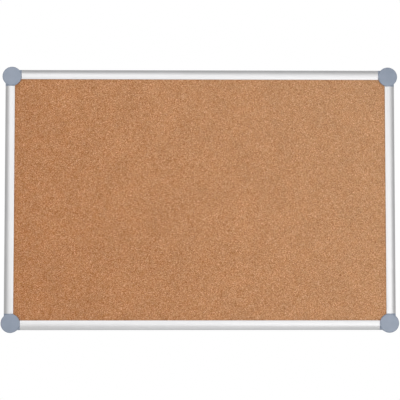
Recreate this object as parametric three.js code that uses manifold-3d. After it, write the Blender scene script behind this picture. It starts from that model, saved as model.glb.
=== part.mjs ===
// Cork notice board: a layered cork panel in a frame of hollow aluminium rails, joined by four
// moulded corner connectors under round snap-off caps.
//
// Lengths are in millimetres. The board is built lying on its back, with x to the right, y up the
// board and z out of the wall. The finished group is then stood up, so that its front faces -Y,
// +Z is up and the origin is the centre of the face that lies against the wall.

import * as THREE from "three";
import { mergeVertices } from "three/addons/utils/BufferGeometryUtils.js";
import Module from "manifold-3d";

const wasm = await Module();
wasm.setup();

// Driving dimensions

const boardWidth = 900; // over the outer faces of the side rails
const boardHeight = 600; // over the outer faces of the top and bottom rails
const railWidth = 22.5; // what shows of a rail from the front
const railDepth = 17.5; // from the wall to the rail's crest
const capDiameter = 44; // the round covers at the corners
const capInset = 16; // from the frame's outer faces to a cap's centre
const capRise = 3.5; // how far a cap stands above the connector it covers

// Fits

const fitGap = 0.3; // between a piece and the one that it slots into
const crushRibGap = 0.1; // left over the small ribs that centre a leg in its rail
const beadGap = 0.15; // left over the snap beads of a cap
const overrun = 2; // how far a solid runs past the face that it opens, or into what it joins

// Panel layers: the softboard core fills what the other two leave

const backingThickness = 2.5;
const corkThickness = 3;

// Rail section: u runs inwards from the frame's outer face and z out of the wall

const railWall = 1.3;
const rearLip = 1.2; // thickness of the lip behind the panel
const grooveDepth = 1.8; // rear groove that takes the heads of the frame screws
const grooveWall = 1.2; // between that groove and the hollow chamber
const panelGrip = 5.7; // how far the panel reaches in behind the front lip
const outerFlat = 8; // straight outer side, before the front starts to curve
const crestInset = 13; // from the outer face to the crest
const edgeBreak = 0.4; // small bevel on the rear outer edge
const lipFall = 1.2; // from the crest down to the inner edge of the front lip
const lipThickness = 1.5; // of the front lip at that edge

const panelEdge = railWidth - panelGrip;
const webInner = panelEdge - fitGap; // face of the web that the panel's edge meets
const webOuter = webInner - railWall;
const panelRear = rearLip + fitGap;
const lipUnderside = railDepth - lipFall - lipThickness;
const panelFront = lipUnderside - fitGap;
const corkLevel = panelFront - corkThickness;
const coreLevel = panelRear + backingThickness;
const chamberFloor = grooveDepth + grooveWall;
const chamberMiddle = (railWall + webOuter) / 2;

// Corner connector, seen from the frame's outer corner with x and y running inwards

const capOverhang = 0.5; // of the cap over the housing's side
const housingRadius = capDiameter / 2 - capOverhang;
const housingWall = 1.5;
const housingFloor = 2.5;
const seatDepth = 1.8; // recess in the top of the housing for the cap's spigot
const pocketWall = 1.8; // walls round the pocket for the panel's corner
const collarEnd = capInset + capDiameter / 2; // the rails butt against the collars here
const bossShares = 0.3; // of the housing's bore, from its middle to the wall screw each way
const recessRadius = 5.4; // takes the wall screw's head
const bossWall = 1.8;
const bossDrop = 0.3; // from the seat down to the boss
const slotWidth = 5.5; // takes the wall screw's shank
const slotLength = 9.6;
const ribThickness = 1.4;
const ribDrop = 1; // from the tips of the cap's fingers down to the ribs

const housingBore = housingRadius - housingWall;
const bossInset = capInset - housingBore * bossShares; // from both outer faces
const seatLevel = railDepth - seatDepth;
const pocketInner = webInner - pocketWall;

// Connector legs

const legLength = 30;
const legWall = 1.8;
const legNose = 2; // narrower tip that finds its way into the rail
const noseInset = 0.8;
const legBlock = 7; // solid length that takes the frame screw
const crushRibWidth = 1;
const crushRibHeight = fitGap - crushRibGap;
const crushRibLevel = 5.5; // height of the ribs on the leg's two sides

const screwAlong = collarEnd + legLength / 2; // from the frame's outer corner, along a rail

// Frame screws

const shankRadius = 1.4;
const shankReach = 8; // past the chamber's floor
const pointLength = 1.6;
const headRadius = 2.7;
const headHeight = 1.4;
const headCrown = 0.5; // part of the head's height that is domed
const driveWidth = 0.8;
const driveLength = 2.8;
const driveDepth = 0.8;
const screwHoleRadius = shankRadius + fitGap;

// Caps

const capWall = 1.8;
const capUnderFall = 0.7; // the underside drops by this from its middle to the spigot
const capCrownFall = 0.8; // and the outside by this from its middle to the rounded edge
const capEdgeRadius = 2.3;
const capFootBevel = 0.4;
const spigotRadius = housingBore - fitGap;
const spigotWall = 1.8;
const fingerReach = 9; // of the snap fingers, down from the housing's top
const fingerWall = 1.5; // centred in the spigot's wall
const fingerHalfAngle = THREE.MathUtils.degToRad(15);
const fingerAngles = [150, 225, 300].map(THREE.MathUtils.degToRad);
const beadHeight = 0.8;
const beadDrop = 0.5; // from the bead to the finger's tip
const crown = railDepth + capRise;

// Facets

const roundSides = 36;
const boreSides = 16;
const screwSides = 10;
const curveSteps = 7;
const edgeSteps = 3;
const fingerSteps = 3;
const slotSteps = 5;
const headSteps = 2;

// Materials

const anodised = new THREE.MeshStandardMaterial({ color: 0xd9dbdd, roughness: 0.35, metalness: 1 });
const cork = new THREE.MeshStandardMaterial({ color: 0xbb8960, roughness: 0.95, metalness: 0 });
const softboard = new THREE.MeshStandardMaterial({ color: 0xa98f6c, roughness: 0.95, metalness: 0 });
const hardboard = new THREE.MeshStandardMaterial({ color: 0x7a5a3e, roughness: 0.8, metalness: 0 });
const moulding = new THREE.MeshStandardMaterial({ color: 0x9199a3, roughness: 0.5, metalness: 0 });
const zinc = new THREE.MeshStandardMaterial({ color: 0xb9bcc0, roughness: 0.35, metalness: 1 });

// Solids

function toSolid(geometry) {
  const bare = geometry.clone();
  bare.deleteAttribute("normal");
  bare.deleteAttribute("uv");
  const merged = mergeVertices(bare);
  const corners = merged.index.array;
  const kept = [];
  for (let i = 0; i < corners.length; i += 3) {
    const [a, b, c] = corners.slice(i, i + 3);
    if (a !== b && b !== c && c !== a) {
      kept.push(a, b, c);
    }
  }
  const vertProperties = new Float32Array(merged.attributes.position.array);
  const triVerts = new Uint32Array(kept);
  return new wasm.Manifold(new wasm.Mesh({ numProp: 3, vertProperties, triVerts }));
}

function toGeometry(solid) {
  const mesh = solid.getMesh();
  const geometry = new THREE.BufferGeometry();
  geometry.setAttribute("position", new THREE.BufferAttribute(mesh.vertProperties, 3));
  geometry.setIndex(new THREE.BufferAttribute(mesh.triVerts, 1));
  geometry.computeVertexNormals();
  return geometry;
}

function block(low, high) {
  const size = high.map((value, i) => value - low[i]);
  const geometry = new THREE.BoxGeometry(...size);
  geometry.translate(low[0] + size[0] / 2, low[1] + size[1] / 2, low[2] + size[2] / 2);
  return toSolid(geometry);
}

function drum(radius, [x, y], low, high, sides) {
  const geometry = new THREE.CylinderGeometry(radius, radius, high - low, sides);
  geometry.rotateX(Math.PI / 2);
  geometry.translate(x, y, (low + high) / 2);
  return toSolid(geometry);
}

function plate(shape, low, high, steps) {
  const geometry = new THREE.ExtrudeGeometry(shape, {
    depth: high - low,
    bevelEnabled: false,
    curveSegments: steps,
  });
  geometry.translate(0, 0, low);
  return toSolid(geometry);
}

// A section drawn in u and z becomes a bar. Along x, u runs along y; along y, u runs along x.
function bar(section, start, end, direction) {
  const geometry = new THREE.ExtrudeGeometry(section, {
    depth: end - start,
    bevelEnabled: false,
    curveSegments: curveSteps,
  });
  const alongX = new THREE.Vector3(1, 0, 0);
  const alongY = new THREE.Vector3(0, 1, 0);
  const alongZ = new THREE.Vector3(0, 0, 1);
  const turn = new THREE.Matrix4();
  if (direction === "x") {
    turn.makeBasis(alongY, alongZ, alongX).setPosition(start, 0, 0);
  } else {
    turn.makeBasis(alongX, alongZ, alongY.negate()).setPosition(0, end, 0);
  }
  return toSolid(geometry.applyMatrix4(turn));
}

// A profile drawn in radius and height, turned about z
function turned(profile, sides, steps) {
  const geometry = new THREE.LatheGeometry(profile.getPoints(steps), sides);
  geometry.rotateX(Math.PI / 2);
  return toSolid(geometry);
}

function joined(solids) {
  return solids.reduce((whole, piece) => whole.add(piece));
}

// Rail section

// The rounded front: from the inner edge of the lip over the crest and down to the outer side
function drawFront(shape) {
  shape.quadraticCurveTo((crestInset + railWidth) / 2, railDepth, crestInset, railDepth);
  shape.absellipse(
    crestInset, outerFlat, crestInset, railDepth - outerFlat, Math.PI / 2, Math.PI, false, 0);
}

// The hollow of a rail, or what fits in it when it is drawn with an inset
function chamberSection(inset, floor) {
  const left = railWall + inset;
  const right = webOuter - inset;
  const top = railDepth - railWall - inset;
  const curveStart = Math.acos(Math.min(0, right - crestInset) / (crestInset - left));
  const shape = new THREE.Shape();
  shape.moveTo(left, floor);
  shape.lineTo(right, floor);
  if (right > crestInset) {
    shape.lineTo(right, top);
  }
  shape.absellipse(
    crestInset, outerFlat, crestInset - left, top - outerFlat, curveStart, Math.PI, false, 0);
  shape.closePath();
  return shape;
}

function railSection() {
  const shape = new THREE.Shape();
  shape.moveTo(edgeBreak, 0);
  shape.lineTo(railWall, 0);
  shape.lineTo(railWall, grooveDepth);
  shape.lineTo(webOuter, grooveDepth);
  shape.lineTo(webOuter, 0);
  shape.lineTo(railWidth, 0);
  shape.lineTo(railWidth, rearLip);
  shape.lineTo(webInner, rearLip);
  shape.lineTo(webInner, lipUnderside);
  shape.lineTo(railWidth, lipUnderside);
  shape.lineTo(railWidth, railDepth - lipFall);
  drawFront(shape);
  shape.lineTo(0, edgeBreak);
  shape.closePath();
  shape.holes.push(chamberSection(0, chamberFloor));
  return shape;
}

// The same outline with nothing cut from it, for the collars that carry it on in plastic
function collarSection() {
  const shape = new THREE.Shape();
  shape.moveTo(edgeBreak, 0);
  shape.lineTo(railWidth, 0);
  shape.lineTo(railWidth, railDepth - lipFall);
  drawFront(shape);
  shape.lineTo(0, edgeBreak);
  shape.closePath();
  return shape;
}

// A rail lies along x with its outer face on y = 0, and is centred
function makeRail(frameLength) {
  const half = frameLength / 2 - collarEnd;
  const screwPlace = frameLength / 2 - screwAlong;
  const holes = [-screwPlace, screwPlace].map((x) =>
    drum(screwHoleRadius, [x, chamberMiddle], -overrun, chamberFloor + overrun, screwSides));
  return toGeometry(bar(railSection(), -half, half, "x").subtract(joined(holes)));
}

// Corner connector

// A block given by its corners in u and z and its stretch along a rail
function railBlock([lowU, lowZ], [highU, highZ], start, end, direction) {
  return direction === "x"
    ? block([start, lowU, lowZ], [end, highU, highZ])
    : block([lowU, start, lowZ], [highU, end, highZ]);
}

// One leg, which enters the chamber of the rail that runs in that direction. Its narrower nose
// leads, and three crush ribs centre it: one on each side and one on the crest.
function makeLeg(direction) {
  const tip = collarEnd + legLength;
  const noseStart = tip - legNose;
  const noseGap = fitGap + noseInset;
  const shaft = bar(
    chamberSection(fitGap, chamberFloor + fitGap), collarEnd - overrun, noseStart, direction);
  const nose = bar(
    chamberSection(noseGap, chamberFloor + noseGap), noseStart - overrun, tip, direction);
  const outerSide = railWall + fitGap;
  const innerSide = webOuter - fitGap;
  const crest = railDepth - railWall - fitGap;
  const ribTop = crushRibLevel + crushRibWidth;
  const ribCorners = [
    [[outerSide - crushRibHeight, crushRibLevel], [outerSide + crushRibHeight, ribTop]],
    [[innerSide - crushRibHeight, crushRibLevel], [innerSide + crushRibHeight, ribTop]],
    [[innerSide - crushRibWidth, crest - crushRibHeight], [innerSide, crest + crushRibHeight]],
  ];
  const ribs = ribCorners.map(([low, high]) =>
    railBlock(low, high, collarEnd - crushRibWidth, noseStart, direction));
  return joined([shaft, nose, ...ribs]);
}

// What is cored out of a leg from behind: a bay on each side of the screw block, and the pilot hole
function legCores(direction) {
  const inset = fitGap + legWall;
  const bays = [
    [collarEnd, screwAlong - legBlock / 2],
    [screwAlong + legBlock / 2, collarEnd + legLength - legNose],
  ];
  const cores = bays.map(([start, end]) =>
    bar(chamberSection(inset, chamberFloor - overrun), start + legWall, end - legWall, direction));
  const spot = direction === "x" ? [screwAlong, chamberMiddle] : [chamberMiddle, screwAlong];
  const pilotEnd = chamberFloor + shankReach + fitGap;
  return joined([...cores, drum(screwHoleRadius, spot, 0, pilotEnd, screwSides)]);
}

// The space inside the housing, open to the front under the cap. It leaves the boss for the wall
// screw, the walls round the panel's corner, and low ribs from these to the outer wall.
function housingHollow(centre) {
  const far = capInset + housingRadius + overrun;
  const out = capInset - housingRadius;
  const half = ribThickness / 2;
  const ribTop = railDepth - fingerReach - ribDrop;
  const ribEnd = pocketInner + half;
  const sideRib = capInset + bossInset;
  const bossSpot = [bossInset, bossInset];
  const kept = [
    drum(recessRadius + bossWall, bossSpot, 0, seatLevel - bossDrop, boreSides),
    block([pocketInner, pocketInner, 0], [far, far, seatLevel]),
    block([bossInset, bossInset, 0], [ribEnd, ribEnd, ribTop]),
    block([out, bossInset - half, 0], [bossInset, bossInset + half, ribTop]),
    block([bossInset - half, out, 0], [bossInset + half, bossInset, ribTop]),
    block([out, sideRib - half, 0], [ribEnd, sideRib + half, ribTop]),
    block([sideRib - half, out, 0], [sideRib + half, ribEnd, ribTop]),
  ];
  return drum(housingBore, centre, housingFloor, railDepth, roundSides).subtract(joined(kept));
}

// The hole for the wall screw: a recess for its head over a slot for its shank
function wallScrewCut() {
  const recess = drum(
    recessRadius, [bossInset, bossInset], housingFloor, railDepth + overrun, boreSides);
  const radius = slotWidth / 2;
  const reach = slotLength / 2 - radius;
  const slot = new THREE.Shape();
  slot.absarc(bossInset + reach, bossInset, radius, -Math.PI / 2, Math.PI / 2, false);
  slot.absarc(bossInset - reach, bossInset, radius, Math.PI / 2, (3 * Math.PI) / 2, false);
  return recess.add(plate(slot, -overrun, housingFloor + overrun, slotSteps));
}

// The pocket that takes the square corner of the panel
function panelPocket() {
  const far = collarEnd + legLength;
  return block([webInner, webInner, rearLip], [far, far, lipUnderside]);
}

function makeConnector() {
  const centre = [capInset, capInset];
  const seat = drum(housingBore, centre, seatLevel, railDepth + overrun, roundSides);
  const body = joined([
    drum(housingRadius, centre, 0, railDepth, roundSides),
    bar(collarSection(), capInset, collarEnd, "x"),
    bar(collarSection(), capInset, collarEnd, "y"),
  ]);
  const shell = body.subtract(joined([seat, housingHollow(centre), panelPocket()]));
  const legs = joined([makeLeg("x"), makeLeg("y")]);
  const cuts = joined([wallScrewCut(), legCores("x"), legCores("y")]);
  return toGeometry(shell.add(legs).subtract(cuts));
}

// Cap

function capProfile() {
  const edge = capDiameter / 2;
  const turnIn = edge - capEdgeRadius;
  const shoulder = crown - capCrownFall;
  const spigotFoot = seatLevel + fitGap;
  const profile = new THREE.Path();
  profile.moveTo(0, crown - capWall);
  profile.lineTo(spigotRadius - spigotWall, crown - capWall - capUnderFall);
  profile.lineTo(spigotRadius - spigotWall, spigotFoot);
  profile.lineTo(spigotRadius, spigotFoot);
  profile.lineTo(spigotRadius, railDepth);
  profile.lineTo(edge - capFootBevel, railDepth);
  profile.lineTo(edge, railDepth + capFootBevel);
  profile.absellipse(
    turnIn, railDepth + capFootBevel, capEdgeRadius, shoulder - railDepth - capFootBevel,
    0, Math.PI / 2, false, 0);
  profile.quadraticCurveTo(turnIn / 2, crown, 0, crown);
  return profile;
}

// A stretch of a ring about the cap's middle
function ringSector(inner, outer, angle) {
  const shape = new THREE.Shape();
  shape.absarc(0, 0, outer, angle - fingerHalfAngle, angle + fingerHalfAngle, false);
  shape.absarc(0, 0, inner, angle + fingerHalfAngle, angle - fingerHalfAngle, true);
  shape.closePath();
  return shape;
}

function makeCap() {
  const tip = railDepth - fingerReach;
  const outer = spigotRadius - (spigotWall - fingerWall) / 2;
  const inner = outer - fingerWall;
  const beadRadius = housingBore - beadGap;
  const beadFoot = tip + beadDrop;
  const fingers = fingerAngles.flatMap((angle) => [
    plate(ringSector(inner, outer, angle), tip, railDepth, fingerSteps),
    plate(
      ringSector(outer - fingerWall / 2, beadRadius, angle),
      beadFoot, beadFoot + beadHeight, fingerSteps),
  ]);
  return toGeometry(joined([turned(capProfile(), roundSides, edgeSteps), ...fingers]));
}

// Frame screw, pointing up from its head, with its seat on z = 0

function makeScrew() {
  const tip = grooveWall + shankReach;
  const profile = new THREE.Path();
  profile.moveTo(0, -headHeight);
  profile.quadraticCurveTo(headRadius, -headHeight, headRadius, headCrown - headHeight);
  profile.lineTo(headRadius, 0);
  profile.lineTo(shankRadius, 0);
  profile.lineTo(shankRadius, tip - pointLength);
  profile.lineTo(0, tip);
  const half = driveWidth / 2;
  const reach = driveLength / 2;
  const depth = driveDepth - headHeight;
  const drive = joined([
    block([-reach, -half, -headHeight - overrun], [reach, half, depth]),
    block([-half, -reach, -headHeight - overrun], [half, reach, depth]),
  ]);
  return toGeometry(turned(profile, screwSides, headSteps).subtract(drive));
}

// Panel layer

function makeSheet(low, high) {
  const halfWidth = boardWidth / 2 - panelEdge;
  const halfHeight = boardHeight / 2 - panelEdge;
  return toGeometry(block([-halfWidth, -halfHeight, low], [halfWidth, halfHeight, high]));
}

// Assembly

function piece(name, geometry, material) {
  const mesh = new THREE.Mesh(geometry, material);
  mesh.name = name;
  return mesh;
}

// A group whose x and y run inwards or along the frame after a number of quarter turns
function station(x, y, quarterTurns) {
  const group = new THREE.Group();
  group.position.set(x, y, 0);
  group.rotation.z = (quarterTurns * Math.PI) / 2;
  return group;
}

const board = new THREE.Group();

board.add(piece("backing_sheet", makeSheet(panelRear, coreLevel), hardboard));
board.add(piece("softboard_core", makeSheet(coreLevel, corkLevel), softboard));
board.add(piece("cork_sheet", makeSheet(corkLevel, panelFront), cork));

const longRail = makeRail(boardWidth);
const shortRail = makeRail(boardHeight);
const rails = [
  ["rail_bottom", 0, -boardHeight / 2, longRail],
  ["rail_right", boardWidth / 2, 0, shortRail],
  ["rail_top", 0, boardHeight / 2, longRail],
  ["rail_left", -boardWidth / 2, 0, shortRail],
];
rails.forEach(([name, x, y, geometry], quarterTurns) => {
  const place = station(x, y, quarterTurns);
  place.add(piece(name, geometry, anodised));
  board.add(place);
});

const connector = makeConnector();
const cap = makeCap();
const screw = makeScrew();
const corners = [
  ["bottom_left", -boardWidth / 2, -boardHeight / 2],
  ["bottom_right", boardWidth / 2, -boardHeight / 2],
  ["top_right", boardWidth / 2, boardHeight / 2],
  ["top_left", -boardWidth / 2, boardHeight / 2],
];
corners.forEach(([name, x, y], quarterTurns) => {
  const place = station(x, y, quarterTurns);
  const cover = piece(`cap_${name}`, cap, moulding);
  cover.position.set(capInset, capInset, 0);
  place.add(piece(`corner_${name}`, connector, moulding), cover);
  const screwSpots = [
    [screwAlong, chamberMiddle],
    [chamberMiddle, screwAlong],
  ];
  screwSpots.forEach(([screwX, screwY], i) => {
    const fastener = piece(`screw_${name}_${i + 1}`, screw, zinc);
    fastener.position.set(screwX, screwY, grooveDepth);
    place.add(fastener);
  });
  board.add(place);
});

board.rotation.x = Math.PI / 2;

export default board;
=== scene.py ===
import math

import bmesh
import bpy
from mathutils import Matrix, Vector, noise


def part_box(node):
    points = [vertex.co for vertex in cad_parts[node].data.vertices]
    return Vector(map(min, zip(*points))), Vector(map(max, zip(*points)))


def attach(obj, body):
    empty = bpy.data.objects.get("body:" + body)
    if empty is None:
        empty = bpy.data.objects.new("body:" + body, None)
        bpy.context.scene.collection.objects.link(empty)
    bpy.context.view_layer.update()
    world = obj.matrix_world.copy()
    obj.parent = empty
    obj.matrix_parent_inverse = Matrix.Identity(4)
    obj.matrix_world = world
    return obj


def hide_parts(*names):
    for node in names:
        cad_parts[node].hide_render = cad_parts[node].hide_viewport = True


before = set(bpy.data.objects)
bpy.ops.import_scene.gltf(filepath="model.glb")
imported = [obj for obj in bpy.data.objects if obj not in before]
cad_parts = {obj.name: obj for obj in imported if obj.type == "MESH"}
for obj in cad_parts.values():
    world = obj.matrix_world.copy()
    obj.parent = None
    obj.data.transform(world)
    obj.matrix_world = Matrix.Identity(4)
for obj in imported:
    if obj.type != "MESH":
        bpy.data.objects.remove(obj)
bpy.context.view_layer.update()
mm = 0.001
quarter = math.pi / 2
print("frame loaded:", len(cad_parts), "nodes")


# Camera. It stands where the outline of the frame and the four discs put it.

camera = {
    "place": (-44.4 * mm, -3000 * mm, -165.4 * mm),
    "tilt": 3.143,  # degrees up
    "turn": 0.843,  # degrees to the right
    "lens": 116.92,
    "sensor": 36.0,
    "reach": 60.0,
}


def addCamera():
    lens = bpy.data.cameras.new("camera")
    lens.lens = camera["lens"]
    lens.sensor_width = camera["sensor"]
    lens.clip_end = camera["reach"]
    holder = bpy.data.objects.new("camera", lens)
    holder.location = camera["place"]
    holder.rotation_euler = (quarter + math.radians(camera["tilt"]), 0, -math.radians(camera["turn"]))
    bpy.context.scene.collection.objects.link(holder)
    bpy.context.scene.camera = holder


addCamera()
print("camera placed")


# Sizes that the frame gives, in millimetres

def boxOf(node):
    return [Vector([round(value / mm, 3) for value in spot]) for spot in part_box(node)]


leftLow, leftHigh = boxOf("rail_left")
bottomLow, bottomHigh = boxOf("rail_bottom")
panelLow, panelHigh = boxOf("backing_sheet")
corkLow, corkHigh = boxOf("cork_sheet")
cornerLow, cornerHigh = boxOf("corner_bottom_left")
capLow, capHigh = boxOf("cap_bottom_left")

halfWidth = -leftLow.x
halfHeight = -bottomLow.z
longLength = bottomHigh.x - bottomLow.x
shortLength = leftHigh.z - leftLow.z
railWidth = leftHigh.x - leftLow.x
railDepth = leftHigh.y - leftLow.y
fitGap = 0.3  # between a piece and the one that it slots into
webInner = panelLow.x + halfWidth - fitGap  # the panel's edge meets the rail's web here
rearLip = -panelHigh.y - fitGap
lipUnderside = -corkLow.y + fitGap
collarEnd = bottomLow.x + halfWidth  # the rails start here, from the frame's outer corner
legTip = cornerHigh.x + halfWidth
screwAlong = (collarEnd + legTip) / 2
capRadius = (capHigh.x - capLow.x) / 2
capInset = capLow.x + halfWidth + capRadius
crown = -capLow.y
housingRadius = capInset - halfWidth - cornerLow.x
overrun = 2  # how far a cutting solid runs past the face that it opens


# Mesh tools. A piece is drawn lying on its back in millimetres, with z out of the wall,
# and is stood up in metres when it is placed.

def ring(middle, radii, start, end, steps):
    angles = [start + (end - start) * i / steps for i in range(steps + 1)]
    return [(middle[0] + radii[0] * math.cos(a), middle[1] + radii[1] * math.sin(a)) for a in angles]


def circle(middle, radius, sides):
    return ring(middle, (radius, radius), 0, 2 * math.pi, sides)[:-1]


def quadratic(start, control, end, steps):
    points = []
    for i in range(steps + 1):
        t = i / steps
        points.append(tuple(
            (1 - t) ** 2 * start[k] + 2 * t * (1 - t) * control[k] + t ** 2 * end[k] for k in (0, 1)))
    return points


def rounded(points, steps=4):
    # each point is x, y and, where its corner is rounded, a radius
    outline = []
    for i, point in enumerate(points):
        here = Vector(point[:2])
        if len(point) < 3 or point[2] == 0:
            outline.append(tuple(here))
            continue
        toLast = (Vector(points[i - 1][:2]) - here).normalized()
        toNext = (Vector(points[(i + 1) % len(points)][:2]) - here).normalized()
        half = toLast.angle(toNext) / 2
        middle = here + (toLast + toNext).normalized() * point[2] / math.sin(half)
        first = here + toLast * point[2] / math.tan(half) - middle
        last = here + toNext * point[2] / math.tan(half) - middle
        for step in range(steps + 1):
            outward = first.slerp(last, step / steps)  # of length 1
            outline.append(tuple(middle + outward * point[2]))
    return outline


def prism(outline, low, high, axis="z"):
    # along x an outline's first value is y and its second z; along y they are x and z
    def turned(a, b, level):
        return {"z": (a, b, level), "x": (level, a, b), "y": (a, level, b)}[axis]

    mesh = bmesh.new()
    ends = [[mesh.verts.new(turned(a, b, level)) for a, b in outline] for level in (low, high)]
    for i in range(len(outline)):
        j = (i + 1) % len(outline)
        mesh.faces.new((ends[0][i], ends[0][j], ends[1][j], ends[1][i]))
    mesh.faces.new(ends[0])
    mesh.faces.new(ends[1])
    bmesh.ops.recalc_face_normals(mesh, faces=mesh.faces)
    return draft(mesh)


def drum(middle, radius, low, high, sides):
    return prism(circle(middle, radius, sides), low, high)


def rectangle(low, high):
    return [(low[0], low[1]), (high[0], low[1]), (high[0], high[1]), (low[0], high[1])]


def block(low, high):
    return prism(rectangle(low, high), low[2], high[2])


def lathe(profile, sides, shape=None):
    # a profile of radius and height, from the axis back to the axis
    mesh = bmesh.new()
    rings = []
    for radius, height in profile:
        if radius == 0:
            rings.append([mesh.verts.new((0, 0, height))] * sides)
            continue
        around = []
        for i in range(sides):
            angle = 2 * math.pi * i / sides
            reach = shape(radius, height, angle) if shape else radius
            around.append(mesh.verts.new((reach * math.cos(angle), reach * math.sin(angle), height)))
        rings.append(around)
    for lower, upper in zip(rings, rings[1:]):
        for i in range(sides):
            j = (i + 1) % sides
            around = [lower[i], lower[j], upper[j], upper[i]]
            face = [vert for k, vert in enumerate(around) if vert not in around[:k]]
            mesh.faces.new(face)
    bmesh.ops.recalc_face_normals(mesh, faces=mesh.faces)
    return draft(mesh)


def draft(mesh):
    data = bpy.data.meshes.new("draft")
    mesh.to_mesh(data)
    mesh.free()
    solid = bpy.data.objects.new("draft", data)
    bpy.context.scene.collection.objects.link(solid)
    return solid


def settle(solid):
    bpy.context.view_layer.update()
    shown = solid.evaluated_get(bpy.context.evaluated_depsgraph_get())
    data = bpy.data.meshes.new_from_object(shown)
    old = solid.data
    solid.modifiers.clear()
    solid.data = data
    bpy.data.meshes.remove(old)
    return solid


def combine(solid, operation, tools):
    for tool in tools:
        step = solid.modifiers.new("combine", "BOOLEAN")
        step.operation = operation
        step.solver = "MANIFOLD"
        step.object = tool
    settle(solid)
    for tool in tools:
        data = tool.data
        bpy.data.objects.remove(tool)
        bpy.data.meshes.remove(data)
    return solid


def joined(first, *others):
    return combine(first, "UNION", others)


def cut(solid, *tools):
    return combine(solid, "DIFFERENCE", tools)


def smooth(solid, creaseAngle=32):
    solid.data.transform(Matrix.Scale(mm, 4))
    solid.data.shade_smooth()
    solid.data.set_sharp_from_angle(angle=math.radians(creaseAngle))
    weigh = solid.modifiers.new("weigh", "WEIGHTED_NORMAL")
    weigh.keep_sharp = True
    weigh.weight = 100  # the largest faces decide
    settle(solid)
    data = solid.data
    bpy.data.objects.remove(solid)
    return data


# Material tools

middle = (0.35, 0.65)  # where a noise has most of its values
wideMiddle = (0.3, 0.7)


def add(tree, kind, inputs=None, **settings):
    node = tree.nodes.new("ShaderNode" + kind)
    for key, value in settings.items():
        setattr(node, key, value)
    for key, value in (inputs or {}).items():
        if isinstance(value, bpy.types.NodeSocket):
            tree.links.new(value, node.inputs[key])
        else:
            node.inputs[key].default_value = value
    return node


def blankMaterial(name):
    material = bpy.data.materials.new(name)
    material.use_nodes = True
    material.node_tree.nodes.clear()
    return material, material.node_tree


def newMaterial(name):
    material, tree = blankMaterial(name)
    shader = add(tree, "BsdfPrincipled")
    add(tree, "OutputMaterial", {"Surface": shader.outputs["BSDF"]})
    return material, tree, shader


def surfaceCoordinates(tree, scale=(1, 1, 1)):
    spot = add(tree, "TexCoord")
    return add(tree, "Mapping", {"Vector": spot.outputs["Object"], "Scale": scale}).outputs["Vector"]


def noiseOf(tree, vector, scale, detail, rough, output="Fac"):
    return add(tree, "TexNoise", {
        "Vector": vector, "Scale": scale, "Detail": detail, "Roughness": rough}).outputs[output]


def cellsOf(tree, vector, scale, feature="F1"):
    return add(tree, "TexVoronoi", {"Vector": vector, "Scale": scale}, feature=feature)


def channel(tree, colour, number):
    return add(tree, "SeparateColor", {"Color": colour}).outputs[number]


def vectorMath(tree, operation, first, second):
    key = "Scale" if operation == "SCALE" else 1
    return add(tree, "VectorMath", {0: first, key: second}, operation=operation).outputs[0]


def sums(tree, operation, a, b=0.0, clamp=False):
    return add(tree, "Math", {0: a, 1: b}, operation=operation, use_clamp=clamp).outputs[0]


def weighed(tree, *pairs):
    # the sum of values, each times its share
    total = 0.0
    for value, share in pairs:
        total = sums(tree, "ADD", sums(tree, "MULTIPLY", value, share), total)
    return total


def spread(tree, value, fromLow, fromHigh, toLow, toHigh):
    return add(tree, "MapRange", {
        "Value": value, "From Min": fromLow, "From Max": fromHigh,
        "To Min": toLow, "To Max": toHigh}).outputs["Result"]


def ramp(tree, value, stops):
    node = add(tree, "ValToRGB", {"Fac": value})
    while len(node.color_ramp.elements) < len(stops):
        node.color_ramp.elements.new(1)
    for element, (at, colour) in zip(node.color_ramp.elements, stops):
        element.position = at
        element.color = (*colour, 1)
    return node.outputs["Color"]


def between(tree, value, first, second, span=middle):
    # from the first colour to the second
    return ramp(tree, value, list(zip(span, (first, second))))


def blendColours(tree, share, first, second, how="MIX"):
    # a Mix node's sockets 0, 6 and 7 are its share and its colours, and output 2 is the colour
    node = add(tree, "Mix", data_type="RGBA", blend_type=how)
    for socket, value in ((node.inputs[0], share), (node.inputs[6], first), (node.inputs[7], second)):
        if isinstance(value, bpy.types.NodeSocket):
            tree.links.new(value, socket)
        elif isinstance(value, tuple):
            socket.default_value = (*value, 1)
        else:
            socket.default_value = value
    return node.outputs[2]


def finish(tree, shader, colour, gloss, height, surface):
    # the gloss noise takes roughness from its first value to its second
    tree.links.new(colour, shader.inputs["Base Color"])
    tree.links.new(spread(tree, gloss, *wideMiddle, *surface["roughness"]), shader.inputs["Roughness"])
    bump = add(tree, "Bump", {
        "Height": height, "Distance": surface["relief"], "Strength": surface["bump"]})
    tree.links.new(bump.outputs["Normal"], shader.inputs["Normal"])


# Finishes. A noise is given as its scale, detail and roughness, and scales are in features
# to a metre.

aluminium = {
    "dark": (0.515, 0.513, 0.517),
    "light": (0.585, 0.582, 0.585),
    "roughness": (0.44, 0.52),
    "lines": (1, 3, 0.6),  # left by the extrusion
    "lineScale": (2.5, 1400, 1400),  # along a rail and across it
    "lineShare": 0.7,
    "clouds": (18, 3, 0.5),
    "cloudShare": 0.3,
    "relief": 0.012 * mm,
    "bump": 0.6,
}


def makeAluminium():
    material, tree, shader = newMaterial("satin_anodised_aluminium")
    lines = noiseOf(tree, surfaceCoordinates(tree, aluminium["lineScale"]), *aluminium["lines"])
    clouds = noiseOf(tree, surfaceCoordinates(tree), *aluminium["clouds"])
    mixed = weighed(tree, (lines, aluminium["lineShare"]), (clouds, aluminium["cloudShare"]))
    colour = between(tree, mixed, aluminium["dark"], aluminium["light"])
    shader.inputs["Metallic"].default_value = 1
    finish(tree, shader, colour, mixed, lines, aluminium)
    return material


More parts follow.
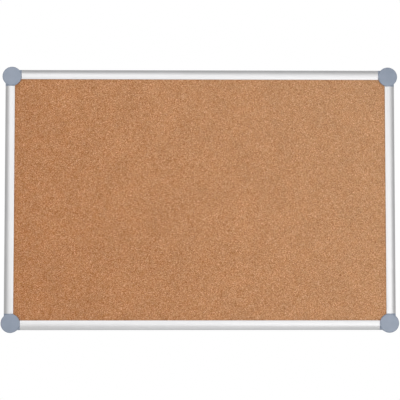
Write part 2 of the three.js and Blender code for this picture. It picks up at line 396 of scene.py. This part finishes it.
plastic = {
    "dark": (0.216, 0.256, 0.326),
    "light": (0.245, 0.285, 0.361),
    "roughness": (0.28, 0.38),
    "ior": 1.53,
    "grain": (1600, 3, 0.6),  # spark texture of the mould
    "grainShare": 0.4,
    "clouds": (60, 3, 0.5),
    "cloudShare": 0.6,
    "relief": 0.02 * mm,
    "bump": 0.5,
}


def makePlastic():
    material, tree, shader = newMaterial("blue_grey_moulding")
    spot = surfaceCoordinates(tree)
    grain = noiseOf(tree, spot, *plastic["grain"])
    clouds = noiseOf(tree, spot, *plastic["clouds"])
    mixed = weighed(tree, (grain, plastic["grainShare"]), (clouds, plastic["cloudShare"]))
    colour = between(tree, mixed, plastic["dark"], plastic["light"])
    shader.inputs["IOR"].default_value = plastic["ior"]
    finish(tree, shader, colour, grain, grain, plastic)
    return material


cork = {
    "dark": (0.224, 0.047, 0.000),
    "brown": (0.362, 0.136, 0.031),
    "tan": (0.518, 0.245, 0.103),
    "pale": (0.722, 0.399, 0.243),
    "toneStops": (0.0, 0.3, 0.7, 1.0),  # where a granule's tone is each of the four
    "bark": (0.150, 0.060, 0.028),
    "cream": (0.780, 0.480, 0.270),
    "ruddy": (1.016, 0.990, 0.972),  # tints of the bark that went into the sheet
    "olive": (0.984, 1.008, 1.018),
    "paintedSheen": (0.056, 0.063, 0.044),  # painted sheen: colour added towards the upper right, standing in for glare of the light on the cork
    "sheenRise": 0.38,  # of the painted sheen, up the board for what it is along it
    "roughness": (0.78, 0.94),
    "specular": 0.35,
    "granules": 680,
    "fineGranules": 1200,
    "patches": (330, 2, 0.5),  # of fine granules among the others
    "patchSpan": (0.42, 0.58),
    "flecks": 300,
    "fleckCore": 0.6,  # share of a fleck's size that keeps its full colour
    "fleckCover": 0.85,
    "drift": (520, 2, 0.5),  # what bends the granules' edges
    "driftReach": 1.6 * mm,
    "seamReach": 0.08,  # how far the dark seam between granules goes into one
    "seamShare": 0.35,
    "grain": (2600, 3, 0.7),
    "clouds": (14, 4, 0.6),
    "batches": (60, 2, 0.5),
    "shade": 0.055,  # how far the clouds darken and lighten it
    "granuleRise": (0.45, 0.25),  # heights of the two sizes of granule, as shares of the relief
    "grainRise": 0.3,
    "seamFall": 0.35,
    "seamSlope": 0.12,
    "relief": 0.14 * mm,
    "bump": 0.55,
}
barkFlecks = {"colour": cork["bark"], "seed": 0.0, "above": 0.94, "size": 0.30}
creamFlecks = {"colour": cork["cream"], "seed": 0.37, "above": 0.95, "size": 0.28}


def granuleColours(tree, spot):
    # two sizes of granule in patches, each granule with a tone of its own
    tones = []
    layers = []
    stops = list(zip(cork["toneStops"], (cork["dark"], cork["brown"], cork["tan"], cork["pale"])))
    for scale in (cork["granules"], cork["fineGranules"]):
        tone = channel(tree, cellsOf(tree, spot, scale).outputs["Color"], 0)
        tones.append(tone)
        layers.append(ramp(tree, tone, stops))
    patches = noiseOf(tree, surfaceCoordinates(tree), *cork["patches"])
    share = spread(tree, patches, *cork["patchSpan"], 0, 1)
    return blendColours(tree, share, *layers), tones


def addFlecks(tree, spot, colour, flecks):
    moved = vectorMath(tree, "ADD", spot, [flecks["seed"]] * 3)
    cells = cellsOf(tree, moved, cork["flecks"])
    chosen = sums(tree, "GREATER_THAN", channel(tree, cells.outputs["Color"], 1), flecks["above"])
    size = flecks["size"]
    near = spread(tree, cells.outputs["Distance"], size * cork["fleckCore"], size, cork["fleckCover"], 0)
    return blendColours(tree, sums(tree, "MULTIPLY", chosen, near), colour, flecks["colour"])


def makeCork():
    material, tree, shader = newMaterial("pressed_cork")
    plain = surfaceCoordinates(tree)
    drift = noiseOf(tree, plain, *cork["drift"], output="Color")
    centred = vectorMath(tree, "SUBTRACT", drift, (0.5, 0.5, 0.5))
    spot = vectorMath(tree, "ADD", plain, vectorMath(tree, "SCALE", centred, cork["driftReach"]))
    colour, tones = granuleColours(tree, spot)
    seam = cellsOf(tree, spot, cork["granules"], "DISTANCE_TO_EDGE").outputs["Distance"]
    seamShare = spread(tree, seam, 0, cork["seamReach"], cork["seamShare"], 0)
    colour = blendColours(tree, seamShare, colour, cork["dark"])
    for flecks in (barkFlecks, creamFlecks):
        colour = addFlecks(tree, spot, colour, flecks)
    clouds = noiseOf(tree, plain, *cork["clouds"])
    shade = between(tree, clouds, [1 - cork["shade"]] * 3, [1 + cork["shade"]] * 3, wideMiddle)
    tint = between(tree, noiseOf(tree, plain, *cork["batches"]), cork["ruddy"], cork["olive"])
    for change in (shade, tint):
        colour = blendColours(tree, 1, colour, change, "MULTIPLY")
    # painted sheen: the cork is lightened towards the upper right, where glare of the light falls
    across, up = add(tree, "SeparateXYZ", {0: plain}).outputs[:2]
    lightening = weighed(tree, (across, 1), (up, cork["sheenRise"]))
    end = (halfWidth - railWidth + (halfHeight - railWidth) * cork["sheenRise"]) * mm
    colour = blendColours(tree, spread(tree, lightening, -end, end, 0, 1), colour, cork["paintedSheen"], "ADD")
    grain = noiseOf(tree, plain, *cork["grain"])
    edge = spread(tree, seam, 0, cork["seamSlope"], -cork["seamFall"], 0)
    height = weighed(tree, *zip(tones, cork["granuleRise"]), (grain, cork["grainRise"]), (edge, 1))
    shader.inputs["Specular IOR Level"].default_value = cork["specular"]
    finish(tree, shader, colour, grain, height, cork)
    return material


softboard = {
    "dark": (0.300, 0.205, 0.115),
    "light": (0.430, 0.310, 0.185),
    "roughness": (0.85, 0.97),
    "fibres": (1, 4, 0.65),
    "fibreScale": (260, 1400, 260),
    "fibreShare": 0.6,
    "clumps": (300, 3, 0.5),
    "clumpShare": 0.4,
    "relief": 0.2 * mm,
    "bump": 0.6,
}


def makeSoftboard():
    material, tree, shader = newMaterial("fibre_softboard")
    fibres = noiseOf(tree, surfaceCoordinates(tree, softboard["fibreScale"]), *softboard["fibres"])
    clumps = noiseOf(tree, surfaceCoordinates(tree), *softboard["clumps"])
    mixed = weighed(tree, (fibres, softboard["fibreShare"]), (clumps, softboard["clumpShare"]))
    colour = between(tree, mixed, softboard["dark"], softboard["light"], wideMiddle)
    finish(tree, shader, colour, mixed, mixed, softboard)
    return material


hardboard = {
    "dark": (0.205, 0.110, 0.058),
    "light": (0.330, 0.190, 0.104),
    "roughness": (0.62, 0.82),
    "toneSpan": (0.32, 0.62),
    "wires": 620,  # of the screen that its rough side was pressed on
    "wireWarp": {"Distortion": 0.6, "Detail": 1, "Detail Scale": 4},
    "wireShare": 0.15,
    "fibres": (900, 4, 0.7),
    "fibreShare": 0.5,
    "fibreRise": 0.35,  # of a fibre, for 1 of a wire
    "clouds": (9, 4, 0.6),
    "cloudShare": 0.35,
    "relief": 0.12 * mm,
    "bump": 0.7,
}


def screenWires(tree, vector, direction):
    scale = hardboard["wires"] * math.pi / 10  # a wave's bands come 10 / pi to a unit of its scale
    waves = {"Vector": vector, "Scale": scale, **hardboard["wireWarp"]}
    return add(tree, "TexWave", waves, wave_type="BANDS", bands_direction=direction).outputs["Fac"]


def makeHardboard():
    material, tree, shader = newMaterial("screen_back_hardboard")
    plain = surfaceCoordinates(tree)
    screen = sums(tree, "MULTIPLY", screenWires(tree, plain, "X"), screenWires(tree, plain, "Z"))
    fibres = noiseOf(tree, plain, *hardboard["fibres"])
    clouds = noiseOf(tree, plain, *hardboard["clouds"])
    tone = weighed(
        tree, (fibres, hardboard["fibreShare"]), (clouds, hardboard["cloudShare"]),
        (screen, hardboard["wireShare"]))
    colour = between(tree, tone, hardboard["dark"], hardboard["light"], hardboard["toneSpan"])
    height = weighed(tree, (screen, 1), (fibres, hardboard["fibreRise"]))
    finish(tree, shader, colour, fibres, height, hardboard)
    return material


zinc = {
    "dark": (0.42, 0.43, 0.45),
    "light": (0.60, 0.61, 0.62),
    "roughness": (0.24, 0.42),
    "mottle": (900, 4, 0.6),
    "relief": 0.01 * mm,
    "bump": 0.5,
}


def makeZinc():
    material, tree, shader = newMaterial("bright_zinc")
    mottle = noiseOf(tree, surfaceCoordinates(tree), *zinc["mottle"])
    colour = between(tree, mottle, zinc["dark"], zinc["light"])
    shader.inputs["Metallic"].default_value = 1
    finish(tree, shader, colour, mottle, mottle, zinc)
    return material


finishes = {
    "anodised_aluminium": makeAluminium(),
    "grey_plastic": makePlastic(),
    "cork": makeCork(),
    "softboard": makeSoftboard(),
    "hardboard": makeHardboard(),
    "zinc_steel": makeZinc(),
}
print("finishes made:", len(finishes))


def place(name, data, spot, quarterTurns, slot, body, node):
    data.materials.clear()
    data.materials.append(finishes[slot])
    piece = bpy.data.objects.new(name, data)
    stand = Matrix.Rotation(quarter, 4, "X") @ Matrix.Translation([v * mm for v in spot])
    piece.matrix_world = stand @ Matrix.Rotation(quarterTurns * quarter, 4, "Z")
    bpy.context.scene.collection.objects.link(piece)
    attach(piece, body)
    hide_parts(node)


# Rails

rail = {
    "wall": 1.3,
    "grooveDepth": 1.8,
    "grooveWall": 1.2,
    "crest": 13,  # from the outer face
    "outerFlat": 8,
    "lipFall": 1.2,
    "rearEdge": 0.4,
    "lipEdge": 0.3,
    "smallEdge": 0.15,
    "holeRadius": 1.7,
    "holeSides": 24,
    "curveSteps": 22,
    "chamberSteps": 14,
}
webOuter = webInner - rail["wall"]
lipFront = railDepth - rail["lipFall"]
chamberFloor = rail["grooveDepth"] + rail["grooveWall"]
chamberMiddle = (rail["wall"] + webOuter) / 2


def railFront():
    crest = (rail["crest"], railDepth)
    control = ((rail["crest"] + railWidth) / 2, railDepth)
    inner = quadratic((railWidth, lipFront), control, crest, rail["curveSteps"])
    outer = ring(
        (rail["crest"], rail["outerFlat"]), (rail["crest"], railDepth - rail["outerFlat"]),
        quarter, math.pi, rail["curveSteps"])
    return inner[1:] + outer[1:]


def chamberOutline(inset, floor):
    outerSide = rail["wall"] + inset
    innerSide = webOuter - inset
    top = railDepth - rail["wall"] - inset
    start = math.acos(min(0, innerSide - rail["crest"]) / (rail["crest"] - outerSide))
    outline = [(outerSide, floor), (innerSide, floor)]
    if innerSide > rail["crest"]:
        outline.append((innerSide, top))
    return outline + ring(
        (rail["crest"], rail["outerFlat"]), (rail["crest"] - outerSide, top - rail["outerFlat"]),
        start, math.pi, rail["chamberSteps"])


def railOutline():
    small = rail["smallEdge"]
    rear = [
        (0, 0, rail["rearEdge"]), (rail["wall"], 0, small),
        (rail["wall"], rail["grooveDepth"], small), (webOuter, rail["grooveDepth"], small),
        (webOuter, 0, small), (railWidth, 0, small),
        (railWidth, rearLip, small), (webInner, rearLip, small),
        (webInner, lipUnderside, small), (railWidth, lipUnderside, small),
        (railWidth, lipFront, rail["lipEdge"]),
    ]
    return rounded(rear + railFront())


def collarOutline():
    rear = [
        (0, 0, rail["rearEdge"]), (railWidth, 0, rail["smallEdge"]),
        (railWidth, lipFront, rail["lipEdge"]),
    ]
    return rounded(rear + railFront())


def makeRail(length):
    half = length / 2
    hole = half - (screwAlong - collarEnd)
    bar = prism(railOutline(), -half, half, "x")
    hollow = prism(chamberOutline(0, chamberFloor), -half - overrun, half + overrun, "x")
    holes = [
        drum((x, chamberMiddle), rail["holeRadius"], -overrun, chamberFloor + overrun, rail["holeSides"])
        for x in (-hole, hole)]
    return smooth(cut(bar, hollow, *holes))


# Corner connectors, seen from the frame's outer corner, with x and y running inwards

corner = {
    "wall": 1.5,
    "floor": 2.5,
    "seatDepth": 1.8,
    "pocketWall": 1.8,
    "bossShare": 0.3,  # of the bore, from its middle to the wall screw each way
    "recess": 5.4,
    "bossWall": 1.8,
    "bossDrop": 0.3,
    "slotWidth": 5.5,
    "slotLength": 9.6,
    "rib": 1.4,
    "ribTop": 7.5,
    "legWall": 1.8,
    "legNose": 2,
    "noseInset": 0.8,
    "legBlock": 7,
    "crushRib": 1,
    "crushRise": 0.2,
    "crushLevel": 5.5,
    "pilotReach": 8.3,
    "sides": 96,
    "boreSides": 64,
    "slotSteps": 16,
}
bore = housingRadius - corner["wall"]
seat = railDepth - corner["seatDepth"]
boss = capInset - bore * corner["bossShare"]
housingMiddle = (capInset, capInset)


def makeLeg(axis):
    noseGap = fitGap + corner["noseInset"]
    noseStart = legTip - corner["legNose"]
    shaft = prism(chamberOutline(fitGap, chamberFloor + fitGap), collarEnd - overrun, noseStart, axis)
    nose = prism(chamberOutline(noseGap, chamberFloor + noseGap), noseStart - overrun, legTip, axis)
    outerSide = rail["wall"] + fitGap
    innerSide = webOuter - fitGap
    crest = railDepth - rail["wall"] - fitGap
    rise = corner["crushRise"]
    width = corner["crushRib"]
    level = corner["crushLevel"]
    crushRibs = [
        rectangle((outerSide - rise, level), (outerSide + rise, level + width)),
        rectangle((innerSide - rise, level), (innerSide + rise, level + width)),
        rectangle((innerSide - width, crest - rise), (innerSide, crest + rise)),
    ]
    return [shaft, nose, *(prism(outline, collarEnd - width, noseStart, axis) for outline in crushRibs)]


def legCores(axis):
    wall = corner["legWall"]
    half = corner["legBlock"] / 2
    bays = ((collarEnd, screwAlong - half), (screwAlong + half, legTip - corner["legNose"]))
    outline = chamberOutline(fitGap + wall, chamberFloor - overrun)
    cores = [prism(outline, start + wall, end - wall, axis) for start, end in bays]
    spot = (screwAlong, chamberMiddle) if axis == "x" else (chamberMiddle, screwAlong)
    top = chamberFloor + corner["pilotReach"]
    return [*cores, drum(spot, rail["holeRadius"], 0, top, rail["holeSides"])]


def housingHollow():
    far = capInset + housingRadius + overrun
    out = capInset - housingRadius
    half = corner["rib"] / 2
    wall = webInner - corner["pocketWall"]
    end = wall + half
    side = capInset + boss
    top = corner["ribTop"]
    bossTop = seat - corner["bossDrop"]
    kept = [
        drum((boss, boss), corner["recess"] + corner["bossWall"], 0, bossTop, corner["boreSides"]),
        block((wall, wall, 0), (far, far, seat)),
        block((boss, boss, 0), (end, end, top)),
        block((out, boss - half, 0), (boss, boss + half, top)),
        block((boss - half, out, 0), (boss + half, boss, top)),
        block((out, side - half, 0), (end, side + half, top)),
        block((side - half, out, 0), (side + half, end, top)),
    ]
    return cut(drum(housingMiddle, bore, corner["floor"], railDepth, corner["sides"]), *kept)


def screwSlot():
    radius = corner["slotWidth"] / 2
    reach = corner["slotLength"] / 2 - radius
    steps = corner["slotSteps"]
    outline = ring((boss + reach, boss), (radius, radius), -quarter, quarter, steps)
    outline += ring((boss - reach, boss), (radius, radius), quarter, 3 * quarter, steps)
    return prism(outline, -overrun, corner["floor"] + overrun)


def makeConnector():
    above = railDepth + overrun
    shell = joined(
        drum(housingMiddle, housingRadius, 0, railDepth, corner["sides"]),
        prism(collarOutline(), capInset, collarEnd, "x"),
        prism(collarOutline(), capInset, collarEnd, "y"))
    pocket = block((webInner, webInner, rearLip), (legTip, legTip, lipUnderside))
    seatCut = drum(housingMiddle, bore, seat, above, corner["sides"])
    recess = drum((boss, boss), corner["recess"], corner["floor"], above, corner["boreSides"])
    shell = cut(shell, seatCut, housingHollow(), pocket)
    shell = joined(shell, *makeLeg("x"), *makeLeg("y"))
    return smooth(cut(shell, recess, screwSlot(), *legCores("x"), *legCores("y")))


# Caps

cap = {
    "wall": 1.8,
    "underFall": 0.7,
    "crownFall": 0.8,
    "edge": 2.3,
    "footBevel": 0.4,
    "spigotWall": 1.8,
    "fingerReach": 9,
    "fingerWall": 1.5,
    "fingerHalfAngle": 15,
    "fingers": (150, 225, 300),
    "beadGap": 0.15,
    "beadHeight": 0.8,
    "beadDrop": 0.5,
    "sides": 96,
    "edgeSteps": 12,
    "crownSteps": 18,
    "fingerSteps": 12,
}


def sector(inner, outer, angle):
    low = math.radians(angle - cap["fingerHalfAngle"])
    high = math.radians(angle + cap["fingerHalfAngle"])
    outside = ring((0, 0), (outer, outer), low, high, cap["fingerSteps"])
    return outside + ring((0, 0), (inner, inner), high, low, cap["fingerSteps"])


def capProfile():
    turnIn = capRadius - cap["edge"]
    shoulder = crown - cap["crownFall"]
    foot = seat + fitGap
    spigot = bore - fitGap
    inside = spigot - cap["spigotWall"]
    bevelTop = railDepth + cap["footBevel"]
    profile = [
        (0, crown - cap["wall"]), (inside, crown - cap["wall"] - cap["underFall"]), (inside, foot),
        (spigot, foot), (spigot, railDepth), (capRadius - cap["footBevel"], railDepth)]
    profile += ring((turnIn, bevelTop), (cap["edge"], shoulder - bevelTop), 0, quarter, cap["edgeSteps"])
    top = quadratic((turnIn, shoulder), (turnIn / 2, crown), (0, crown), cap["crownSteps"])
    return profile + top[1:-1] + [(0, crown)]


def makeCap():
    tip = railDepth - cap["fingerReach"]
    outer = bore - fitGap - (cap["spigotWall"] - cap["fingerWall"]) / 2
    inner = outer - cap["fingerWall"]
    bead = tip + cap["beadDrop"]
    fingers = []
    for angle in cap["fingers"]:
        fingers.append(prism(sector(inner, outer, angle), tip, railDepth))
        reach = sector(outer - cap["fingerWall"] / 2, bore - cap["beadGap"], angle)
        fingers.append(prism(reach, bead, bead + cap["beadHeight"]))
    return smooth(joined(lathe(capProfile(), cap["sides"]), *fingers))


# Frame screws, seated on the floor of the rail's rear groove

screw = {
    "head": 2.7,
    "headHeight": 1.4,
    "headDome": 0.9,
    "domeStart": 0.95,  # share of the head's radius over which its top stays flat
    "domeSteps": 8,
    "headShoulder": 0.1,
    "core": 1.05,
    "crest": 1.38,
    "pitch": 1.25,
    "ridge": 0.3,  # half of a thread's foot, as a share of the pitch
    "reach": 9.2,
    "point": 1.8,
    "driveWidth": 0.8,
    "driveLength": 2.8,
    "driveDepth": 0.8,
    "rowsToPitch": 10,
    "sides": 40,
    "creaseAngle": 40,
}


def threadReach(radius, height, angle):
    if height <= 0:
        return radius
    turn = (height / screw["pitch"] - angle / (2 * math.pi)) % 1
    ridge = max(0, 1 - abs(turn - 0.5) / screw["ridge"])
    grow = min(1, height / screw["pitch"], (screw["reach"] - height) / screw["point"])
    return radius + (screw["crest"] - screw["core"]) * ridge * max(0, grow)


def screwProfile():
    head = screw["head"]
    low = -screw["headHeight"]
    flat = (head * screw["domeStart"], low)
    dome = quadratic((0, low), flat, (head, low + screw["headDome"]), screw["domeSteps"])
    profile = [(0, low), *dome[1:]]
    profile += [(head, -screw["headShoulder"]), (head - screw["headShoulder"], 0), (screw["core"], 0)]
    rows = round(screw["reach"] / screw["pitch"] * screw["rowsToPitch"])
    for row in range(1, rows):
        height = screw["reach"] * row / rows
        taper = min(1, (screw["reach"] - height) / screw["point"])
        profile.append((screw["core"] * taper, height))
    return [*profile, (0, screw["reach"])]


def makeScrew():
    half = screw["driveWidth"] / 2
    reach = screw["driveLength"] / 2
    below = -screw["headHeight"] - overrun
    deep = screw["driveDepth"] - screw["headHeight"]
    drive = [
        block((-reach, -half, below), (reach, half, deep)),
        block((-half, -reach, below), (half, reach, deep))]
    shank = lathe(screwProfile(), screw["sides"], threadReach)
    return smooth(cut(shank, *drive), screw["creaseAngle"])


# Cork sheet, its face raised and pitted a little

sheet = {"step": 3, "relief": 0.1, "lumps": 0.16}


def makeCorkSheet():
    size = corkHigh - corkLow
    columns = round(size.x / sheet["step"])
    rows = round(size.z / sheet["step"])
    front, back = -corkLow.y, -corkHigh.y
    mesh = bmesh.new()
    face = []
    for row in range(rows + 1):
        y = corkLow.z + size.z * row / rows
        line = []
        for column in range(columns + 1):
            x = corkLow.x + size.x * column / columns
            dip = noise.noise(Vector((x, y, 0)) * sheet["lumps"]) / 2 + 0.5
            line.append(mesh.verts.new((x, y, front - sheet["relief"] * dip)))
        face.append(line)
    for lower, upper in zip(face, face[1:]):
        for i in range(columns):
            mesh.faces.new((lower[i], lower[i + 1], upper[i + 1], upper[i]))
    rim = face[0] + [line[-1] for line in face[1:]]
    rim += list(reversed(face[-1][:-1])) + [line[0] for line in reversed(face[1:-1])]
    foot = [mesh.verts.new((vert.co.x, vert.co.y, back)) for vert in rim]
    for i in range(len(rim)):
        j = (i + 1) % len(rim)
        mesh.faces.new((rim[j], rim[i], foot[i], foot[j]))
    mesh.faces.new(list(reversed(foot)))
    return smooth(draft(mesh))


# Assembly. Each side and each corner is the last one turned by a quarter.

longRail = makeRail(longLength)
shortRail = makeRail(shortLength)
railPlaces = {
    "rail_bottom": (longRail, (0, -halfHeight, 0)),
    "rail_right": (shortRail, (halfWidth, 0, 0)),
    "rail_top": (longRail, (0, halfHeight, 0)),
    "rail_left": (shortRail, (-halfWidth, 0, 0)),
}
for quarterTurns, (name, (data, spot)) in enumerate(railPlaces.items()):
    place(f"{name}_extrusion", data, spot, quarterTurns, "anodised_aluminium", "root", name)
print("rails made:", len(railPlaces))

connector = makeConnector()
cover = makeCap()
frameScrew = makeScrew()
outerCorners = {
    "bottom_left": (-halfWidth, -halfHeight, 0),
    "bottom_right": (halfWidth, -halfHeight, 0),
    "top_right": (halfWidth, halfHeight, 0),
    "top_left": (-halfWidth, halfHeight, 0),
}


def addCorner(name, outerCorner, quarterTurns):
    def inward(u, v, level):
        return Vector(outerCorner) + Matrix.Rotation(quarterTurns * quarter, 3, "Z") @ Vector((u, v, level))

    place(
        f"corner_{name}_moulding", connector, outerCorner, quarterTurns, "grey_plastic",
        "root", f"corner_{name}")
    place(
        f"cap_{name}_cover", cover, inward(capInset, capInset, 0), quarterTurns, "grey_plastic",
        f"cap_{name}", f"cap_{name}")
    for i, (u, v) in enumerate([(screwAlong, chamberMiddle), (chamberMiddle, screwAlong)]):
        place(
            f"screw_{name}_{i + 1}_threaded", frameScrew, inward(u, v, rail["grooveDepth"]),
            quarterTurns, "zinc_steel", "root", f"screw_{name}_{i + 1}")


for quarterTurns, (name, outerCorner) in enumerate(outerCorners.items()):
    addCorner(name, outerCorner, quarterTurns)
print("corners made:", len(outerCorners))

place("cork_face", makeCorkSheet(), (0, 0, 0), 0, "cork", "root", "cork_sheet")
for name, slot in (("softboard_core", "softboard"), ("backing_sheet", "hardboard")):
    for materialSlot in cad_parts[name].material_slots:
        materialSlot.material = finishes[slot]
print("panel made")


# Studio

studio = {
    "ambient": 0.69,  # what the white surroundings throw on matt surfaces
    "floorLevel": -1.9,
    "floorRadius": 2.6,
    "floorTone": (0.80, 0.80, 0.80),
    "floorVariation": 1.02,
    "floorClouds": (3, 3, 0.5),
    "floorRoughness": 0.7,
    "floorSides": 128,
    "floorGlow": 0.5,  # share of white that lightens the floor for the camera
    "glowStart": 0.35,  # where the floor starts to fade to white, as a share of its radius
    "glowEnd": 0.97,
    "cardTone": 0.66,  # pale grey cards at both sides and above, which only the gloss shows
    "cardReach": 1.3,  # from the board's middle
    "cardFront": -0.85,
    "cardBack": 0.6,
}
lamps = {
    "key": {"place": (0.1, -1.9, 0.0), "size": 2.1, "power": 6.9, "gloss": True, "matt": True},
    "upperLeft": {"place": (-0.75, -1.9, 0.6), "size": 1.2, "power": 5.6, "gloss": True, "matt": True},
    "lowerRight": {"place": (0.8, -1.9, -0.4), "size": 1.2, "power": 6.7, "gloss": True, "matt": True},
    "low": {"place": (0.0, -0.7, -1.35), "size": 0.8, "power": 0.7, "gloss": True, "matt": False},
    "side": {"place": (1.8, -1.1, 0.0), "size": 1.2, "power": 1.7, "gloss": True, "matt": False},
    "rear": {"place": (0.3, 2.4, 0.6), "size": 3.0, "power": 28, "gloss": False, "matt": True},
}


white = (1, 1, 1, 1)


def addLamp(name, lamp):
    light = bpy.data.lights.new(name, "AREA")
    light.size = lamp["size"]
    light.energy = lamp["power"]
    holder = bpy.data.objects.new(name, light)
    holder.location = lamp["place"]
    holder.rotation_euler = (-Vector(lamp["place"])).to_track_quat("-Z", "Y").to_euler()
    holder.visible_glossy = lamp["gloss"]
    holder.visible_diffuse = lamp["matt"]
    holder.visible_camera = False
    bpy.context.scene.collection.objects.link(holder)


def backgroundRays(tree):
    # 1 for what the camera sees directly, and 1 for what it sees in a gloss or through glass
    path = add(tree, "LightPath")
    mirrored = sums(tree, "MAXIMUM", path.outputs["Is Glossy Ray"], path.outputs["Is Transmission Ray"])
    return path.outputs["Is Camera Ray"], mirrored


def addWorld():
    world = bpy.data.worlds.new("studio")
    world.use_nodes = True
    tree = world.node_tree
    tree.nodes.clear()
    shown = sums(tree, "MAXIMUM", *backgroundRays(tree))
    strength = spread(tree, shown, 0, 1, studio["ambient"], 1)
    background = add(tree, "Background", {"Color": white, "Strength": strength})
    add(tree, "OutputWorld", {"Surface": background.outputs[0]})
    bpy.context.scene.world = world


def makeFloorMaterial():
    material, tree = blankMaterial("pale_floor")
    tone = studio["floorTone"]
    lighter = [value * studio["floorVariation"] for value in tone]
    clouds = noiseOf(tree, surfaceCoordinates(tree), *studio["floorClouds"])
    colour = between(tree, clouds, tone, lighter, wideMiddle)
    matt = add(tree, "BsdfPrincipled", {"Base Color": colour, "Roughness": studio["floorRoughness"]})
    glow = add(tree, "Emission", {"Color": white, "Strength": 1})
    reach = add(tree, "VectorMath", {0: surfaceCoordinates(tree)}, operation="LENGTH").outputs["Value"]
    start = studio["floorRadius"] * studio["glowStart"]
    end = studio["floorRadius"] * studio["glowEnd"]
    edge = spread(tree, reach, start, end, studio["floorGlow"], 1)
    direct, mirrored = backgroundRays(tree)
    lightening = sums(tree, "MAXIMUM", sums(tree, "MULTIPLY", edge, direct), mirrored, clamp=True)
    mix = add(tree, "MixShader", {0: lightening, 1: matt.outputs[0], 2: glow.outputs[0]})
    add(tree, "OutputMaterial", {"Surface": mix.outputs[0]})
    return material


def addFloor():
    mesh = bmesh.new()
    bmesh.ops.create_circle(
        mesh, cap_ends=True, segments=studio["floorSides"], radius=studio["floorRadius"])
    data = bpy.data.meshes.new("floor")
    mesh.to_mesh(data)
    mesh.free()
    data.materials.append(makeFloorMaterial())
    floor = bpy.data.objects.new("floor", data)
    floor.location.z = studio["floorLevel"]
    bpy.context.scene.collection.objects.link(floor)


def makeCardMaterial():
    material, tree = blankMaterial("grey_card")
    tone = add(tree, "Emission", {"Color": white, "Strength": studio["cardTone"]})
    add(tree, "OutputMaterial", {"Surface": tone.outputs[0]})
    return material


def addCard(name, material, ends):
    # between two ends, each an x and a z, and from the cards' front to their back
    (x, z), (farX, farZ) = ends
    front, back = studio["cardFront"], studio["cardBack"]
    data = bpy.data.meshes.new(name)
    data.from_pydata(
        [(x, front, z), (x, back, z), (farX, back, farZ), (farX, front, farZ)], [], [(0, 1, 2, 3)])
    data.materials.append(material)
    card = bpy.data.objects.new(name, data)
    card.visible_camera = False
    card.visible_diffuse = False
    card.visible_shadow = False
    bpy.context.scene.collection.objects.link(card)


def addCards():
    material = makeCardMaterial()
    reach = studio["cardReach"]
    addCard("leftCard", material, ((-reach, -reach), (-reach, reach)))
    addCard("rightCard", material, ((reach, -reach), (reach, reach)))
    addCard("topCard", material, ((-reach, reach), (reach, reach)))


for name, lamp in lamps.items():
    addLamp(name, lamp)
addWorld()
addFloor()
addCards()
bpy.context.scene.view_settings.view_transform = "Standard"
print("studio made:", len(lamps), "lamps")
